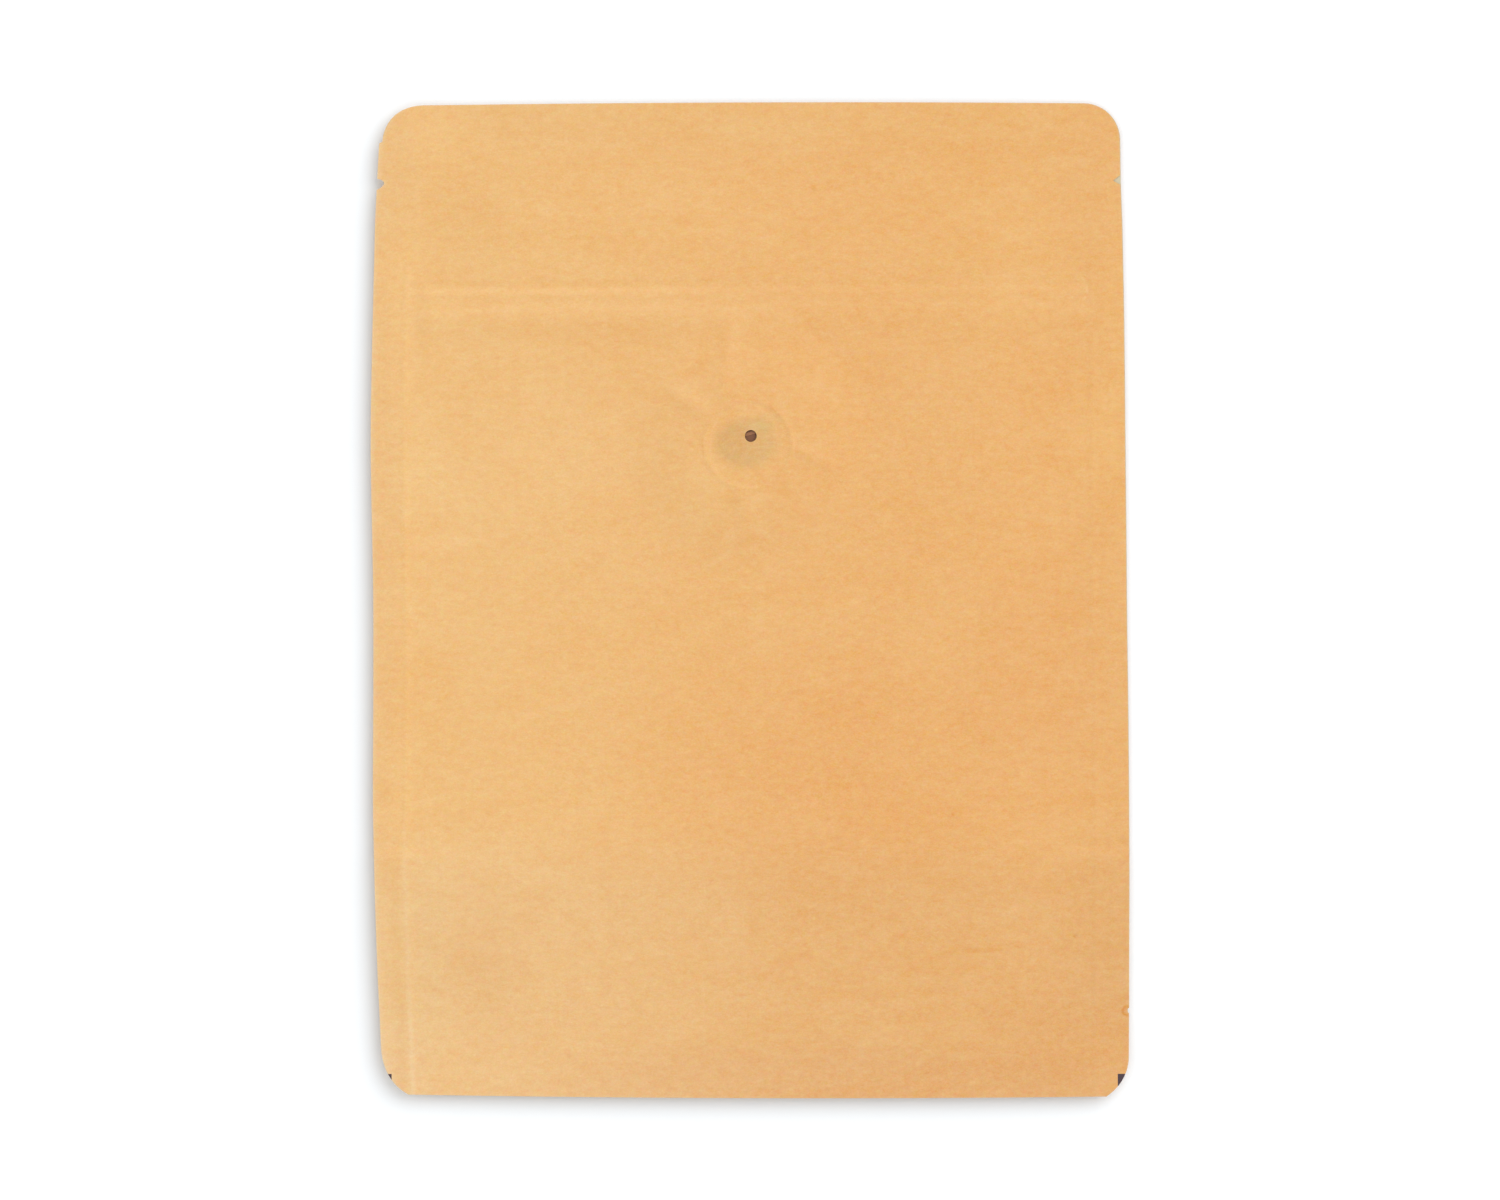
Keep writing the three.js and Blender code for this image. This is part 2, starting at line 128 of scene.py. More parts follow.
# Valve, its weld and the vent
VALVE_CENTRE = Vector((-0.4, 39.5, 0))
VALVE_RADIUS = 10.6
VALVE_BOTTOM = 1
VALVE_TOP = 3.25
VALVE_BAR = {"centre": (0.05, 41.95), "half_length": 5, "half_width": 0.42}
VALVE_BAR_RISE = 0.15
VALVE_BAR_SUNK = 0.2
VALVE_BAR_TURN = 16
TENT = {"rise": 1.9, "top": 10.9, "reach": 34}
WELD_RIM = {"centre": Vector((-0.4, 39.1)), "radius": 11.1, "rise": 0.15, "half_width": 0.7}
WELD_MIDDLE = {"centre": Vector((-0.7, 41.8)), "radius": 7.5, "rise": 0.14, "edge": 0.5}
VENT_CENTRE = Vector((0.2, 41.3, 0))
VENT_RADIUS = 1.5
VENT_PULL = 6.5

# Creases that run out from the valve, each from one place to another
CREASES = [
    {"start": (-11.3, 46.8), "end": (-20.6, 53.3), "rise": 0.28, "half_width": 2.2},
    {"start": (-6.5, 50.8), "end": (-5.8, 71.7), "rise": 0.34, "half_width": 2.4},
    {"start": (11.3, 38.2), "end": (22.1, 33.2), "rise": 0.3, "half_width": 1.6},
    {"start": (-2, 27.7), "end": (-1, 16.4), "rise": 0.25, "half_width": 2},
    {"start": (-4.5, 18.1), "end": (-11.3, 10.1), "rise": 0.2, "half_width": 1.4},
]
CREASE_END = 3

# Square patch of the front panel round the valve, where its mesh runs in rings
PATCH_HALF = 22
PATCH_STEPS = 34
RINGS_ROUND_TO = 14
PATCH_RINGS = [
    1.5, 1.62, 1.8, 2.1, 2.5, 3, 3.5, 4, 4.6, 5.2, 5.8, 6.3, 6.7, 7, 7.25, 7.5, 7.75, 8, 8.5, 9, 9.5, 9.9,
    10.15, 10.4, 10.65, 10.9, 11.2, 11.6, 12.1, 12.7, 13.3, 14, 15, 16, 17, 18, 19, 20, 21, 22,
]


def spread(start, end, steps):
    """Even steps from one position up to, and without, another."""
    return [start + (end - start) * step / steps for step in range(steps)]


def smoothstep(value, low, high):
    share = np.clip((value - low) / (high - low), 0, 1)
    return share * share * (3 - 2 * share)


def bell(distance, half_width):
    return np.exp(-((distance / half_width) ** 2))


# --- Outline ---


def bowed_across(x, y):
    """The draw of the two sides is shared out over the width, so that the seals run parallel to them."""
    share = np.clip(np.abs(x) / HALF_WIDTH, 0, 1)
    left = np.interp(y, *zip(*LEFT_DRAW))
    right = np.interp(y, *zip(*RIGHT_DRAW))
    return x + share * np.where(x < 0, left, -right)


def bowed_up(x, y):
    """The top and bottom edges fall back a little towards the corners."""
    top = TOP_BOW["draw"] * ((x - TOP_BOW["highest_at"]) / TOP_BOW["reach"]) ** 2
    bottom = BOTTOM_BOW["draw"] * ((x - BOTTOM_BOW["highest_at"]) / BOTTOM_BOW["reach"]) ** 2
    near_top = smoothstep(y, HALF_HEIGHT - BOW_FADE, HALF_HEIGHT)
    near_bottom = smoothstep(-y, HALF_HEIGHT - BOW_FADE, HALF_HEIGHT)
    return y - top * near_top + bottom * near_bottom


def tear_depth(tear, rounding, y):
    """How deep a tear notch is at a height: its two sides are rounded apart."""
    depth = tear["depth"]
    for side, direction in (("above", 1), ("below", -1)):
        power, root = rounding[side]
        share = np.clip(direction * (y - tear["height"]) / tear[side], 0, 1)
        depth = depth * (1 - share ** power) ** root
    return depth


def tack_depth(y):
    off_middle = np.abs(y - TACK["height"])
    across = TACK["radius"] - TACK["depth"]
    return np.maximum(0, np.sqrt(np.maximum(0, TACK["radius"] ** 2 - off_middle ** 2)) - across)


def pushed_in(from_side):
    """How far a column moves with a notch in its side: 1 at the side, 0 out of the notch's reach."""
    return np.clip(1 - from_side / NOTCH_REACH, 0, 1) ** 1.5


def notched(x, y, right_tear):
    """Pushes the outer columns in at the tear notches, the tack hole and the die's step."""
    left = tear_depth(LEFT_TEAR, LEFT_TEAR_ROUNDING, y)
    left = left + DIE_STEP["inset"] * smoothstep(
        y, DIE_STEP["height"] - DIE_STEP["softness"], DIE_STEP["height"] + DIE_STEP["softness"]
    )
    right = right_tear * tear_depth(RIGHT_TEAR, RIGHT_TEAR_ROUNDING, y) + tack_depth(y)
    return x + left * pushed_in(HALF_WIDTH + x) - right * pushed_in(HALF_WIDTH - x)


# --- Relief, at a place given by its height and its unbowed distance across ---


def curl_height(inset, curl):
    return curl["rise"] * np.maximum(0, 1 - inset / curl["reach"]) ** 2


def back_surface(x, y):
    """The underside, curled at its four edges; two curls run together softly at their corner."""
    sides = curl_height(HALF_WIDTH + x, LEFT_CURL) ** 4 + curl_height(HALF_WIDTH - x, RIGHT_CURL) ** 4
    ends = curl_height(HALF_HEIGHT - y, TOP_CURL) ** 4 + curl_height(HALF_HEIGHT + y, BOTTOM_CURL) ** 4
    return (sides + ends) ** 0.25 - BACK_BULGE


def lying_surface(x, y):
    """The underside: the curled back, pressed flat where it lies on the surface below."""
    curled = back_surface(x, y)
    return (curled + np.hypot(curled, 0.02)) / 2


def inside_seals(x):
    """From 0 on the side seals to 1 where the panels are free of each other."""
    return smoothstep(HALF_WIDTH - SIDE_SEAL - np.abs(x), 0, SLACK_AT_SIDES)


def layer_thickness(x, y):
    softness = FOLD_SOFTNESS + FOLD_FREE_SOFTNESS * inside_seals(x)
    in_gusset = smoothstep(GUSSET_HEIGHT - HALF_HEIGHT - y, -softness, softness)
    parted = smoothstep(np.abs(y), HALF_HEIGHT - 2 * MOUTH_DEPTH, HALF_HEIGHT)
    return 2 * PAPER * (1 + in_gusset) + MOUTH_PARTING * parted * inside_seals(x)


def slack(x, y):
    at_bottom = smoothstep(HALF_HEIGHT + y, 0, SLACK_AT_BOTTOM)
    at_mouth = smoothstep(HALF_HEIGHT - y, MOUTH_DEPTH, SLACK_AT_MOUTH)
    return SLACK * inside_seals(x) * at_bottom * at_mouth


def seal_ridge(x, y):
    """The bead that the sealing bar leaves along the inner edge of each side seal."""
    off_seal = np.abs(x) - (HALF_WIDTH - SIDE_SEAL)
    from_mouth = smoothstep(HALF_HEIGHT - y, *SEAL_RIDGE_FADE)
    rise = np.where(x < 0, SEAL_RIDGE["left"], SEAL_RIDGE["right"])
    return rise * bell(off_seal, SEAL_RIDGE["half_width"]) * from_mouth


def zipper_relief(x, y):
    below = HALF_HEIGHT - y + ZIPPER["slope"] * (x - ZIPPER["level_at"])
    along = smoothstep(x, ZIPPER["left"] - 2, ZIPPER["left"] + 2)
    along = along * (1 - smoothstep(x, ZIPPER["right"] - 3, ZIPPER["right"] + 1))
    along = along * (1 - ZIPPER_FADE["share"] * smoothstep(x, ZIPPER_FADE["from"], ZIPPER_FADE["to"]))
    steps = sum(step["rise"] * smoothstep(below, step["start"], step["end"]) for step in ZIPPER_STEPS)
    return along * steps


def crease(x, y, fold):
    start, end = Vector(fold["start"]), Vector(fold["end"])
    run = (end - start).normalized()
    dx, dy = x - start.x, y - start.y
    along = dx * run.x + dy * run.y
    across = dy * run.x - dx * run.y
    length = (end - start).length
    rising = smoothstep(along, -CREASE_END, CREASE_END)
    falling = 1 - smoothstep(along, length - CREASE_END, length + CREASE_END)
    return fold["rise"] * bell(across, fold["half_width"]) * rising * falling


def weld_relief(x, y):
    """The rim of the weld, and the paper that stands up a little over the valve's middle."""
    off_rim = np.hypot(x - WELD_RIM["centre"].x, y - WELD_RIM["centre"].y) - WELD_RIM["radius"]
    off_middle = np.hypot(x - WELD_MIDDLE["centre"].x, y - WELD_MIDDLE["centre"].y) - WELD_MIDDLE["radius"]
    middle = 1 - smoothstep(off_middle, -WELD_MIDDLE["edge"], WELD_MIDDLE["edge"])
    return WELD_RIM["rise"] * bell(off_rim, WELD_RIM["half_width"]) + WELD_MIDDLE["rise"] * middle


def front_surface(x, y):
    from_valve = np.hypot(x - VALVE_CENTRE.x, y - VALVE_CENTRE.y)
    tent = TENT["rise"] * (1 - smoothstep(from_valve, TENT["top"], TENT["reach"]))
    height = back_surface(x, y) + layer_thickness(x, y) + slack(x, y) + seal_ridge(x, y)
    height = height + zipper_relief(x, y) + sum(crease(x, y, fold) for fold in CREASES)
    return height + tent + weld_relief(x, y)


# --- Sheets of paper ---


def flat_sheet(across, up):
    """A flat rectangular sheet with its columns and rows at the given positions."""
    sheet = bmesh.new()
    bmesh.ops.create_grid(sheet, x_segments=len(across) - 1, y_segments=len(up) - 1, size=1)
    for vert in sheet.verts:
        column = round((vert.co.x + 1) / 2 * (len(across) - 1))
        row = round((vert.co.y + 1) / 2 * (len(up) - 1))
        vert.co = across[column], up[row], 0
    return sheet


def corner_points(corner):
    """The cut of a corner as distances in from the side and the end, from the side round to the end."""
    points = []
    for chord in range(CORNER_CHORDS + 1):
        share = chord / CORNER_CHORDS
        if "control" in corner:
            middle = 2 * share * (1 - share)
            inset = max(0, middle * corner["control"][0] + share ** 2)
            drop = middle * corner["control"][1] + share ** 2
        else:
            inset = 1 - math.cos(share * math.pi / 2)
            drop = math.sin(share * math.pi / 2)
        points.append((corner["across"] * inset, corner["up"] * (1 - drop)))
    return points


def corner_chords(corner, side, end, half_length):
    """The chords of a corner's cut: where each starts and which way it faces out."""
    tip = Vector((side * HALF_WIDTH, end * half_length, 0))
    points = [tip - Vector((side * inset, end * drop, 0)) for inset, drop in corner_points(corner)]
    chords = []
    for start, stop in zip(points, points[1:]):
        outwards = Vector((start.y - stop.y, stop.x - start.x, 0)).normalized()
        chords.append((start, outwards if outwards.dot(start) > 0 else -outwards))
    return chords


def cut_corner(sheet, corner, side, end, half_length):
    """Cuts one corner of a flat sheet round, chord by chord."""
    reach = 1.5 * max(corner["across"], corner["up"])
    tip = Vector((side * HALF_WIDTH, end * half_length, 0))
    for start, outwards in corner_chords(corner, side, end, half_length):
        faces = [f for f in sheet.faces if (f.calc_center_median() - tip).length < reach]
        edges = {e for f in faces for e in f.edges}
        verts = {v for f in faces for v in f.verts}
        bmesh.ops.bisect_plane(
            sheet,
            geom=[*verts, *edges, *faces],
            dist=1e-4,
            plane_co=start,
            plane_no=outwards,
            clear_outer=True,
        )


def cut_to_outline(sheet):
    """Rounds a flat sheet's corners and borders it narrowly: the edge's shading stays off the paper."""
    for (side, end), corner in CORNERS.items():
        cut_corner(sheet, corner, side, end, HALF_HEIGHT)
    bmesh.ops.inset_region(
        sheet,
        faces=sheet.faces,
        use_boundary=True,
        use_even_offset=True,
        thickness=BORDER,
    )


def edge_distance(x, y):
    """How far flat places lie inside the outline."""
    distance = np.minimum(HALF_WIDTH - np.abs(x), HALF_HEIGHT - np.abs(y))
    for (side, end), corner in CORNERS.items():
        for start, outwards in corner_chords(corner, side, end, HALF_HEIGHT):
            distance = np.minimum(distance, (start.x - x) * outwards.x + (start.y - y) * outwards.y)
    return distance


def on_patch_edge(step):
    """The point at a step along the square patch's edge, counted from the middle of its right side."""
    side, along = divmod(step + PATCH_STEPS / 2, PATCH_STEPS)
    offset = 2 * PATCH_HALF * along / PATCH_STEPS - PATCH_HALF
    corner_turn = math.radians(90) * (side % 4)
    out = Vector((math.cos(corner_turn), math.sin(corner_turn), 0))
    sideways = Vector((-out.y, out.x, 0))
    return VALVE_CENTRE + out * PATCH_HALF + sideways * offset


def ring_round_valve(sheet):
    """Replaces the square patch round the valve by rings, the innermost of which is the vent's edge."""
    def in_patch(face):
        off = face.calc_center_median() - VALVE_CENTRE
        return max(abs(off.x), abs(off.y)) < PATCH_HALF

    bmesh.ops.delete(sheet, geom=[f for f in sheet.faces if in_patch(f)], context="FACES")
    spoke = [sheet.verts.new(VALVE_CENTRE + Vector((radius, 0, 0))) for radius in PATCH_RINGS]
    edges = [sheet.edges.new(pair) for pair in zip(spoke, spoke[1:])]
    before = set(sheet.verts) - set(spoke)
    spokes = 4 * PATCH_STEPS
    bmesh.ops.spin(
        sheet,
        geom=[*spoke, *edges],
        cent=VALVE_CENTRE,
        axis=(0, 0, 1),
        angle=2 * math.pi,
        steps=spokes,
        use_merge=True,
    )
    to_vent = VENT_CENTRE - VALVE_CENTRE
    for vert in [v for v in sheet.verts if v not in before]:
        off = vert.co - VALVE_CENTRE
        radius = off.length
        step = round(math.atan2(off.y, off.x) / (2 * math.pi) * spokes)
        squareness = max(0, (radius - RINGS_ROUND_TO) / (PATCH_HALF - RINGS_ROUND_TO))
        pull = 1 - float(smoothstep(radius, VENT_RADIUS, VENT_PULL))
        vert.co = vert.co.lerp(on_patch_edge(step), squareness) + to_vent * pull
    bmesh.ops.remove_doubles(sheet, verts=sheet.verts, dist=0.01)


def near_edge(outwards, half):
    """From 0 well inside an edge to 1 on it."""
    return smoothstep(outwards, half - 20, half)


def shaped(sheet, height, right_tear=1, shift=0.0, inset=0.0):
    """Moves a flat sheet's points onto the outline and a surface; the inset is at the left and bottom."""
    sheet.verts.ensure_lookup_table()
    flat = np.array([vert.co[:] for vert in sheet.verts])
    from_edge = sheet.verts.layers.float.new("from_edge")
    unbowed = sheet.verts.layers.float.new("unbowed")
    for vert, distance in zip(sheet.verts, edge_distance(flat[:, 0], flat[:, 1]).tolist()):
        vert[from_edge] = distance
        vert[unbowed] = vert.co.x
    x = notched(flat[:, 0], flat[:, 1], right_tear)
    y = bowed_up(x, flat[:, 1])
    z = height(x, y)
    moved = shift * smoothstep(y, *BACK_SHIFT_FADE) + inset * near_edge(-x, HALF_WIDTH)
    across = bowed_across(x, y) + moved
    up = y + inset * near_edge(-y, HALF_HEIGHT)
    for vert, place in zip(sheet.verts, np.column_stack([across, up, z]).tolist()):
        vert.co = place


def finished(name, sheet, materials, node=None):
    """Turns a bmesh into a piece of the pouch, in metres, with its place in its mesh."""
    bmesh.ops.scale(sheet, vec=(METRES,) * 3, verts=sheet.verts)
    mesh = bpy.data.meshes.new(name)
    sheet.to_mesh(mesh)
    sheet.free()
    for material in materials:
        mesh.materials.append(material)
    mesh.shade_smooth()
    piece = bpy.data.objects.new(name, mesh)
    bpy.context.scene.collection.objects.link(piece)
    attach(piece, "root")
    if node:
        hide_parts(node)
    return piece


def face_up(sheet, up=True):
    """Turns a sheet's faces all up or all down."""
    bmesh.ops.recalc_face_normals(sheet, faces=sheet.faces)
    total = sum(face.normal.z * face.calc_area() for face in sheet.faces)
    if (total > 0) != up:
        bmesh.ops.reverse_faces(sheet, faces=sheet.faces)


def thicken(piece, thickness, offset, inner=0, rim=0):
    layer = piece.modifiers.new("paper", "SOLIDIFY")
    layer.thickness = thickness * METRES
    layer.offset = offset
    layer.material_offset = inner
    layer.material_offset_rim = rim
    return piece


# --- Shading ---


class Signal:
    """A socket in a material's node tree. Arithmetic on it adds Math nodes."""

    def __init__(self, tree, socket=None):
        self.tree = tree
        self.socket = socket

    def node(self, kind, settings=None, sockets=None, output=0):
        """A node of any kind: its settings first, then the values or links of its sockets."""
        made = self.tree.nodes.new(kind)
        for name, value in (settings or {}).items():
            setattr(made, name, value)
        for name, value in (sockets or {}).items():
            if isinstance(value, Signal):
                self.tree.links.new(value.socket, made.inputs[name])
            else:
                made.inputs[name].default_value = value
        return Signal(self.tree, made.outputs[output] if made.outputs else None)

    def math(self, operation, *values):
        return self.node("ShaderNodeMath", {"operation": operation}, dict(enumerate(values)))

    def __add__(self, other):
        return self.math("ADD", self, other)

    __radd__ = __add__

    def __sub__(self, other):
        return self.math("SUBTRACT", self, other)

    def __rsub__(self, other):
        return self.math("SUBTRACT", other, self)

    def __mul__(self, other):
        return self.math("MULTIPLY", self, other)

    __rmul__ = __mul__

    def __gt__(self, other):
        return self.math("GREATER_THAN", self, other)

    def __lt__(self, other):
        return self.math("LESS_THAN", self, other)

    def root(self):
        return self.math("SQRT", self)

    def unsigned(self):
        return self.math("ABSOLUTE", self)

    def smooth(self, low, high):
        """From 0 at low to 1 at high."""
        return self.node(
            "ShaderNodeMapRange",
            {"interpolation_type": "SMOOTHSTEP"},
            {"Value": self, "From Min": low, "From Max": high, "To Min": 0.0, "To Max": 1.0},
        )

    def grain(self, length, stretch=1.0, detail=0.0, roughness=0.5, shift=(0, 0, 0)):
        """Noise about 0 with grains of a length in millimetres, longer across by the stretch."""
        placed = self.node(
            "ShaderNodeMapping",
            {},
            {"Vector": self, "Location": shift, "Scale": (1 / stretch, 1, 1)},
        )
        noise = self.node(
            "ShaderNodeTexNoise",
            {"noise_dimensions": "3D"},
            {"Vector": placed, "Scale": 1 / (length * METRES), "Detail": detail, "Roughness": roughness},
        )
        return noise - 0.5

    def own(self, name):
        """A number that the piece's points carry."""
        return self.node("ShaderNodeAttribute", {"attribute_name": name}, output=2)

    def millimetres(self):
        """The across and up parts of a place, in millimetres."""
        parts = self.node("ShaderNodeSeparateXYZ", {}, {0: self}).socket.node.outputs
        return [Signal(self.tree, part) * (1 / METRES) for part in parts[:2]]

    def colour(self, rgb):
        made = self.node("ShaderNodeRGB")
        made.socket.default_value = (*rgb, 1)
        return made

    def mixed(self, amount, other):
        """This colour, turning into another as the amount goes from 0 to 1."""
        return self.node("ShaderNodeMix", {"data_type": "RGBA"}, {0: amount, 6: self, 7: other}, 2)

    def tinted(self, amount, tint):
        """This colour plus a tint times an amount."""
        share = self.node("ShaderNodeVectorMath", {"operation": "SCALE"}, {0: tint, "Scale": amount})
        return self.node("ShaderNodeVectorMath", {"operation": "ADD"}, {0: self, 1: share})


def new_material(name, colour, roughness, specular=0.3):
    """A material with its plain finish, the place on the piece that it colours, and its shader node."""
    material = bpy.data.materials.new(name)
    material.use_nodes = True
    tree = material.node_tree
    shader = tree.nodes["Principled BSDF"]
    shader.inputs["Base Color"].default_value = (*colour, 1)
    shader.inputs["Roughness"].default_value = roughness
    shader.inputs["Specular IOR Level"].default_value = specular
    material.diffuse_color = (*colour, 1)
    place = Signal(tree).node("ShaderNodeTexCoord", output="Object")
    return material, place, shader


def mark(x, y, spot, half_length, half_width, turn=0, core=0):
    """A soft oval at a spot in millimetres: 1 in its core, a share of its size, and 0 outside."""
    turn = math.radians(turn)
    lengthwise = Vector((math.cos(turn), math.sin(turn))) / half_length
    sideways = Vector((-math.sin(turn), math.cos(turn))) / half_width
    along = x * lengthwise.x + y * lengthwise.y - lengthwise.dot(Vector(spot))
    across = x * sideways.x + y * sideways.y - sideways.dot(Vector(spot))
    return (along * along + across * across).root().smooth(1, core)


def join(value, shader, socket):
    value.tree.links.new(value.socket, shader.inputs[socket])


# Kraft paper's colour at the left side above the gusset, and the painted light added to it elsewhere:
# painted shade that darkens it and turns it more orange towards the right, and a painted paling over the
# gusset
KRAFT = (0.728, 0.437, 0.179)
KRAFT_PAINTED_SHADE_RIGHT = (-0.018, -0.0504, -0.0344)
KRAFT_PAINTED_LIGHT_GUSSET = (-0.01, 0.0154, 0.027)
KRAFT_PAINTED_SHADE_GUSSET_RIGHT = (-0.025, -0.0303, -0.0275)


def shares_of_kraft(*shares):
    """Shares of kraft's own red, green and blue."""
    return tuple(part * share for part, share in zip(KRAFT, shares))


# How kraft turns under painted highlights and shade, also used for its dark specks: a share of its red,
# more of its green and most of its blue
PAINTED_SHADING_AND_SPECK_TINT = shares_of_kraft(1, 2.4, 5)
MOTTLE = shares_of_kraft(0.08, 0.35, 0.7)
FLECKS = shares_of_kraft(0.077, 0.33, 0.71)
FINE_GRAIN = shares_of_kraft(0.05, 0.13, 0.38)
REDDER = shares_of_kraft(0.24, 0, 0)
GREENER = shares_of_kraft(0, 0.32, -0.23)
AT_EDGES = shares_of_kraft(0, 0.06, 0.2)

# The paper over the valve's middle: greyer at its left, where the brown valve shows through, and at its
# right paler and greener, a painted sheen
OVER_VALVE = {"spot": (-1, 39.4), "half_length": 9.8, "half_width": 7.7, "core": 0.55}
LEFT_OVER_VALVE = shares_of_kraft(-0.129, -0.106, -0.113)
PAINTED_SHEEN_RIGHT_OVER_VALVE = shares_of_kraft(-0.094, -0.01, 0.027)

# Dark register marks at the bottom corners: how far out they start, and their top and bottom
EYE_MARK = (0.075, 0.052, 0.06)
RIGHT_EYE_MARK = {"from": 92.6, "top": -119.3}
LEFT_EYE_MARK = {"from": -90.2, "top": -119.3, "bottom": -120.7}

# Wide soft fields of the front that are tinted: place, half width across, half height, core, and shares
# of kraft's red, green and blue
FIELDS = [
    ((-94, 10), 8, 115, 0.4, (-0.03, -0.028, 0)),
    ((15, -124), 100, 16, 0.4, (-0.034, -0.048, -0.02)),
    ((82, -108), 34, 34, 0, (-0.03, -0.045, -0.045)),
    ((16, -44), 60, 44, 0.2, (-0.012, -0.05, -0.07)),
    ((25, 125), 85, 14, 0.4, (0.012, 0.04, 0.05)),
    ((62, 92), 40, 45, 0, (0, 0.028, 0.03)),
    ((94, 60), 9, 75, 0.3, (0.022, 0.035, 0.025)),
    ((-72, 99), 24, 22, 0, (-0.035, -0.055, -0.09)),
    ((-68, -90), 24, 30, 0, (-0.025, -0.06, -0.09)),
    ((-9, 29), 20, 17, 0, (0.02, 0.06, 0.09)),
    ((-82, 37), 12, 18, 0, (0.008, 0.05, 0.09)),
    ((-86, -92), 14, 44, 0.3, (-0.025, -0.01, 0)),
    ((-92, 110), 12, 30, 0.3, (-0.03, -0.025, 0)),
    ((72, -22), 26, 44, 0.3, (-0.015, -0.035, -0.03)),
    ((86, 40), 10, 24, 0.2, (0.02, 0.045, 0.05)),
    ((-90, -118), 16, 18, 0, (0, 0.01, 0.09)),
    ((4, 44.6), 5.5, 3.4, 0.3, (-0.06, -0.005, 0)),
]

# Painted highlights (or, below 0, painted shade) on the zipper's ridges under the paper: start, strongest
# and end below the mouth, and strength
ZIPPER_PAINTED_LINES = [
    (44, 45.3, 46.3, -0.008),
    (46.1, 47.5, 49.6, 0.017),
    (48.8, 51.8, 55, 0.017),
    (55, 58, 63, -0.001),
]

# Soft painted highlights (or, below 0, painted shade) on the front, most along its creases, weld and
# seals: place, half length, half width, turn and strength
PAINTED_SHADING_MARKS = [
    ((-15.1, 51.8), 8, 3, -35, 0.018),
    ((-12.2, 58.6), 4.6, 3.2, 60, -0.024),
    ((-8.8, 63), 4, 2.4, 90, 0.012),
    ((-14.5, 47.3), 4.5, 2, -20, -0.006),
    ((-3.6, 62.4), 11, 2.6, 90, 0.013),
    ((0.5, 47.6), 6, 1.3, -8, 0.016),
    ((6.2, 44.5), 3.6, 1.2, -55, 0.014),
    ((0, 28.4), 4.6, 0.55, 0, 0.022),
    ((11, 38), 4.4, 0.55, 92, 0.018),
    ((9.3, 41.5), 3.6, 0.6, -70, -0.016),
    ((6.2, 47.6), 3.6, 0.6, -48, -0.018),
    ((0.4, 50.4), 5, 0.6, -5, -0.03),
    ((-9.9, 38.5), 5.2, 0.6, 90, 0.018),
    ((-8.9, 44), 3, 0.6, 62, 0.026),
    ((-5.3, 46.3), 3, 1, 35, -0.016),
    ((-11.9, 38.5), 5.2, 0.5, 92, -0.024),
    ((84.1, 80.6), 1.7, 0.6, -55, 0.034),
    ((85, 78.2), 1.9, 0.6, -88, 0.04),
    ((84.2, 76), 1.5, 0.6, 55, 0.034),
    ((-62, 122.6), 18, 1.1, 0, -0.014),
    ((4, 61), 9, 4.5, 90, -0.008),
    ((17.2, 37.2), 6.5, 1.5, -25, 0.009),
    ((-13, 33.5), 7, 4.5, 60, 0.01),
    ((-4.5, 25.2), 3.2, 2.6, 0, -0.03),
    ((3.8, 25.9), 4, 1.8, 0, 0.024),
    ((8.8, 27.7), 3.2, 2.8, 0, -0.02),
    ((-6.9, 14.7), 6, 1.2, 53, 0.012),
    ((4.6, 7.5), 12, 3, 80, 0.008),
    ((-77, 14.5), 12, 5, 0, 0.027),
    ((75.5, 7.5), 4, 1, 45, 0.012),
    ((66.7, -7.5), 4, 1, 0, -0.022),
    ((59.1, -88.2), 10, 1.1, 0, -0.032),
    ((66.7, -78), 3, 2.2, 0, 0.018),
    ((28.9, -59.8), 5, 1.3, 90, 0.014),
    ((-78.8, -98.2), 4.5, 1.5, -20, -0.02),
    ((-65.5, -100), 5, 8, 0, -0.01),
    ((-57.9, -86.8), 12, 3, 0, 0.012),
    ((-38.8, -80.5), 2.5, 2.5, 0, 0.014),
    ((-48, 34), 48, 26, 0, 0.014),
    ((-45, 91), 60, 8, 0, -0.01),
    ((-82, -31), 14, 40, 0, -0.013),
    ((-70, -94), 12, 9, 0, -0.013),
    ((1.2, 43.9), 3.4, 1.8, 0, 0.032),
    ((-4.5, 31.8), 4.5, 3, 0, -0.026),
    ((-92, -49), 3.4, 6, 0, -0.014),
    ((-92, 50), 2.6, 5, 0, -0.014),
    ((-91.5, -68), 2.6, 5, 0, -0.012),
    ((-91, -92), 2.6, 8, 0, -0.01),
]
# Small specks in the paper: place, radius and strength
SPECKS = [
    ((16, 103.8), 1, -0.06),
    ((51.1, -54.1), 0.8, -0.05),
    ((-10.3, -75), 0.7, -0.04),
    ((81.8, -84.6), 0.9, -0.05),
    ((-16.4, -93.9), 0.7, -0.04),
    ((86.1, 54.4), 0.8, -0.04),
    ((65.4, -7), 0.7, -0.04),
    ((26.9, 73.2), 0.8, -0.035),
]


